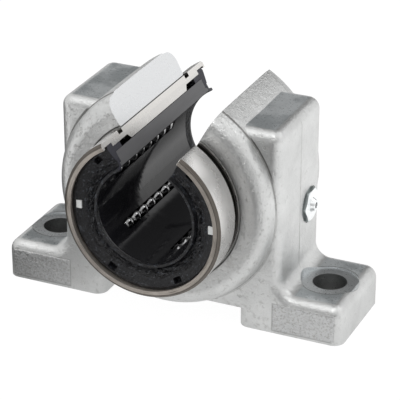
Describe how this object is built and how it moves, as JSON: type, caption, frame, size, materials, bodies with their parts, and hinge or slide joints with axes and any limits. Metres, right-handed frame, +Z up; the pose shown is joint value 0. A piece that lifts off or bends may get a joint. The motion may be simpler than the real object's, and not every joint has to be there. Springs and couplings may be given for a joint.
{
  "type": "linear bearing block",
  "caption": "Die-cast pillow block with two bolt feet and an open recirculating ball bearing, for a supported linear shaft.",
  "frame": {"origin": "centre of the mounting face, below the middle of the bore", "axes": "+X from foot to foot, towards the grease nipple's side; +Y along the shaft, away from the front end; +Z up, towards the opening"},
  "size_m": [0.0712, 0.045, 0.0443],
  "materials": {
    "cast_aluminium": "grainy die-cast skin, machined at the bore, the cut faces and the bolt seats",
    "sleeve_steel": "ground outside, scaled brown-grey in the grooves and on the end faces",
    "cage_plastic": "smooth black moulding with a film of grease",
    "ring_plastic": "black moulding, slightly dusty",
    "peg_plastic": "plain white moulding",
    "seal_rubber": "dark rubber, greasy",
    "zinc_plate": "bright zinc plate",
    "ball_steel": "polished bearing steel",
    "spring_steel": "plain drawn wire"
  },
  "bodies": {
    "block": {"housing": "cast_aluminium", "outer_sleeve": "sleeve_steel", "ball_cage": "cage_plastic", "front_end_ring": "ring_plastic", "rear_end_ring": "ring_plastic", "front_ring_pegs": "peg_plastic", "rear_ring_pegs": "peg_plastic", "front_seal_lip": "seal_rubber", "rear_seal_lip": "seal_rubber", "grease_nipple": "zinc_plate", "nipple_spring": "spring_steel", "load_balls_1": "ball_steel", "return_balls_1": "ball_steel", "load_balls_2": "ball_steel", "return_balls_2": "ball_steel", "load_balls_3": "ball_steel", "return_balls_3": "ball_steel", "load_balls_4": "ball_steel", "return_balls_4": "ball_steel", "load_balls_5": "ball_steel", "return_balls_5": "ball_steel"},
    "check_ball": {"nipple_check_ball": "ball_steel"}
  },
  "joints": [
    {"name": "check_ball_travel", "type": "slide", "parent": "block", "child": "check_ball", "axis": [-1, 0, 0], "range_m": [0, 0.0006], "stiffness_N_per_m": 200, "springref_m": -0.0006, "deforming": ["nipple_spring"]}
  ]
}
